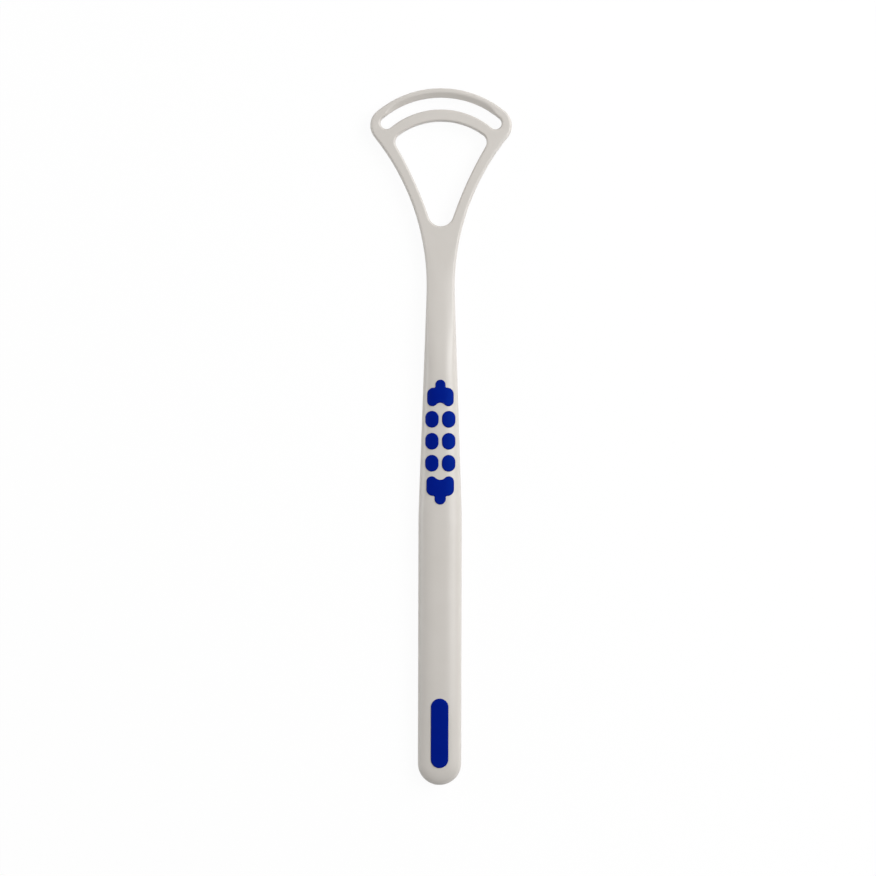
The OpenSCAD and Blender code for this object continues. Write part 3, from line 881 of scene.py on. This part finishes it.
def backdrop_material(stage):
    """White paper: plain to the lamps, and white where it is seen, less the tool's shadow"""
    material, add = empty_material("backdrop")
    rays = add("ShaderNodeLightPath").outputs
    mirrored = add("ShaderNodeMath", rays["Is Glossy Ray"], rays["Is Transmission Ray"])
    mirrored.operation = "MAXIMUM"
    seen = add("ShaderNodeMath", rays["Is Camera Ray"], mirrored.outputs["Value"])
    seen.operation = "MAXIMUM"
    glow_share = add("ShaderNodeMath", seen.outputs["Value"], stage.backdrop_glow)
    glow_share.operation = "MULTIPLY"
    paper = add("ShaderNodeBsdfDiffuse", Color=(*stage.paper, 1))
    glow = add("ShaderNodeEmission", Color=(1, 1, 1, 1), Strength=1)
    mix = add(
        "ShaderNodeMixShader", glow_share.outputs["Value"], paper.outputs["BSDF"],
        glow.outputs["Emission"]
    )
    add("ShaderNodeOutputMaterial", Surface=mix.outputs["Shader"])
    return material


def add_lamp(stage, name):
    """A soft square lamp that looks at the tool's middle"""
    light = bpy.data.lights.new(name + "_lamp", "AREA")
    light.size = stage.lamp_size
    light.energy = getattr(stage, name + "_power")
    lamp = bpy.data.objects.new(name + "_lamp", light)
    bpy.context.scene.collection.objects.link(lamp)
    out = Vector((1, 0, 0))
    out.rotate(Euler((
        0, -getattr(stage, name + "_height"), getattr(stage, name + "_azimuth")
    )))
    lamp.location = stage.lamp_distance * out
    lamp.rotation_euler = out.to_track_quat("Z", "Y").to_euler()


class SCRAPER_OT_stage(Operator):
    """Set up the studio: floor and cove, lamps, world and camera"""

    bl_idname = "scraper.stage"
    bl_label = "Studio"
    bl_options = {"REGISTER", "UNDO"}

    def execute(self, context):
        stage = context.scene.scraper_stage
        self.add_backdrop(stage)
        self.add_world(context, stage)
        for name in ("key", "side", "fill"):
            add_lamp(stage, name)
        self.add_camera(context, stage)
        context.scene.view_settings.view_transform = "Standard"
        return {"FINISHED"}

    def add_backdrop(self, stage):
        """A round floor that turns up into a wall through a cove"""
        bm = bmesh.new()
        points = [(0, 0, -stage.floor_gap), (stage.floor_r, 0, -stage.floor_gap)]
        for i in range(1, COVE_STEPS + 1):
            angle = math.pi / 2 * i / COVE_STEPS
            points.append((
                stage.floor_r + stage.cove_r * math.sin(angle), 0,
                stage.cove_r * (1 - math.cos(angle)) - stage.floor_gap
            ))
        points.append((stage.floor_r + stage.cove_r, 0, stage.cove_r + stage.wall_h))
        verts = [bm.verts.new(point) for point in points]
        edges = [bm.edges.new(pair) for pair in zip(verts, verts[1:])]
        bmesh.ops.spin(
            bm, geom=verts + edges, cent=(0, 0, 0), axis=(0, 0, 1), angle=2 * math.pi,
            steps=FLOOR_STEPS, use_merge=True
        )
        bmesh.ops.remove_doubles(bm, verts=bm.verts[:], dist=WELD)
        bmesh.ops.recalc_face_normals(bm, faces=bm.faces[:])
        bmesh.ops.reverse_faces(bm, faces=bm.faces[:])
        backdrop = make_object(bm, "backdrop")
        backdrop.data.shade_smooth()
        backdrop.data.materials.append(backdrop_material(stage))

    def add_world(self, context, stage):
        """Even light from all round"""
        world = bpy.data.worlds.new("studio")
        context.scene.world = world
        world.use_nodes = True
        sky = world.node_tree.nodes["Background"]
        sky.inputs["Color"].default_value = (1, 1, 1, 1)
        sky.inputs["Strength"].default_value = stage.world_strength

    def add_camera(self, context, stage):
        """The photograph's view: straight down, with the head at the top"""
        scale = LENGTH / (stage.tail_row - stage.crest_row)
        middle = stage.photo_size / 2
        data = bpy.data.cameras.new("camera")
        data.lens = stage.lens
        camera = bpy.data.objects.new("camera", data)
        context.scene.collection.objects.link(camera)
        distance = stage.photo_size * scale * data.lens / data.sensor_width
        camera.location = (
            (middle - stage.axis_column) * scale,
            (stage.tail_row - middle) * scale - LENGTH / 2,
            GRIP_T / 2 + distance,
        )
        camera.rotation_euler = (0, 0, stage.lean)
        context.scene.camera = camera


class SCRAPER_PT_panel(Panel):
    """Lists the pieces of the tool, its finishes and its studio"""

    bl_idname = "SCRAPER_PT_panel"
    bl_label = "Tongue Scraper"
    bl_space_type = "VIEW_3D"
    bl_region_type = "UI"
    bl_category = "Scraper"

    def draw(self, context):
        scene = context.scene
        groups = (
            (scene.scraper_moulding, (SCRAPER_OT_moulding,)),
            (scene.scraper_pads, (SCRAPER_OT_arrow_pads, SCRAPER_OT_dots, SCRAPER_OT_tail_pad)),
            (scene.scraper_finish, ()),
            (scene.scraper_stage, (SCRAPER_OT_stage,)),
        )
        for group, operators in groups:
            box = self.layout.box()
            for name in group.__annotations__:
                box.prop(group, name)
            for operator in operators:
                box.operator(operator.bl_idname)


GROUPS = {
    "scraper_moulding": SCRAPER_PG_moulding,
    "scraper_pads": SCRAPER_PG_pads,
    "scraper_finish": SCRAPER_PG_finish,
    "scraper_stage": SCRAPER_PG_stage,
}
CLASSES = (
    *GROUPS.values(), SCRAPER_OT_moulding, SCRAPER_OT_arrow_pads, SCRAPER_OT_dots,
    SCRAPER_OT_tail_pad, SCRAPER_OT_stage, SCRAPER_PT_panel
)


def register():
    """Registers the classes, and gives the scene its groups of values"""
    for cls in CLASSES:
        bpy.utils.register_class(cls)
    for name, group in GROUPS.items():
        setattr(bpy.types.Scene, name, PointerProperty(type=group))


def unregister():
    """Takes the groups and the classes out again"""
    for name in GROUPS:
        delattr(bpy.types.Scene, name)
    for cls in reversed(CLASSES):
        bpy.utils.unregister_class(cls)


def main():
    """Builds the whole scene"""
    register()
    bpy.ops.scraper.moulding()
    bpy.ops.scraper.arrow_pads()
    bpy.ops.scraper.dots()
    bpy.ops.scraper.tail_pad()
    bpy.ops.scraper.stage()


if __name__ == "__main__":
    main()
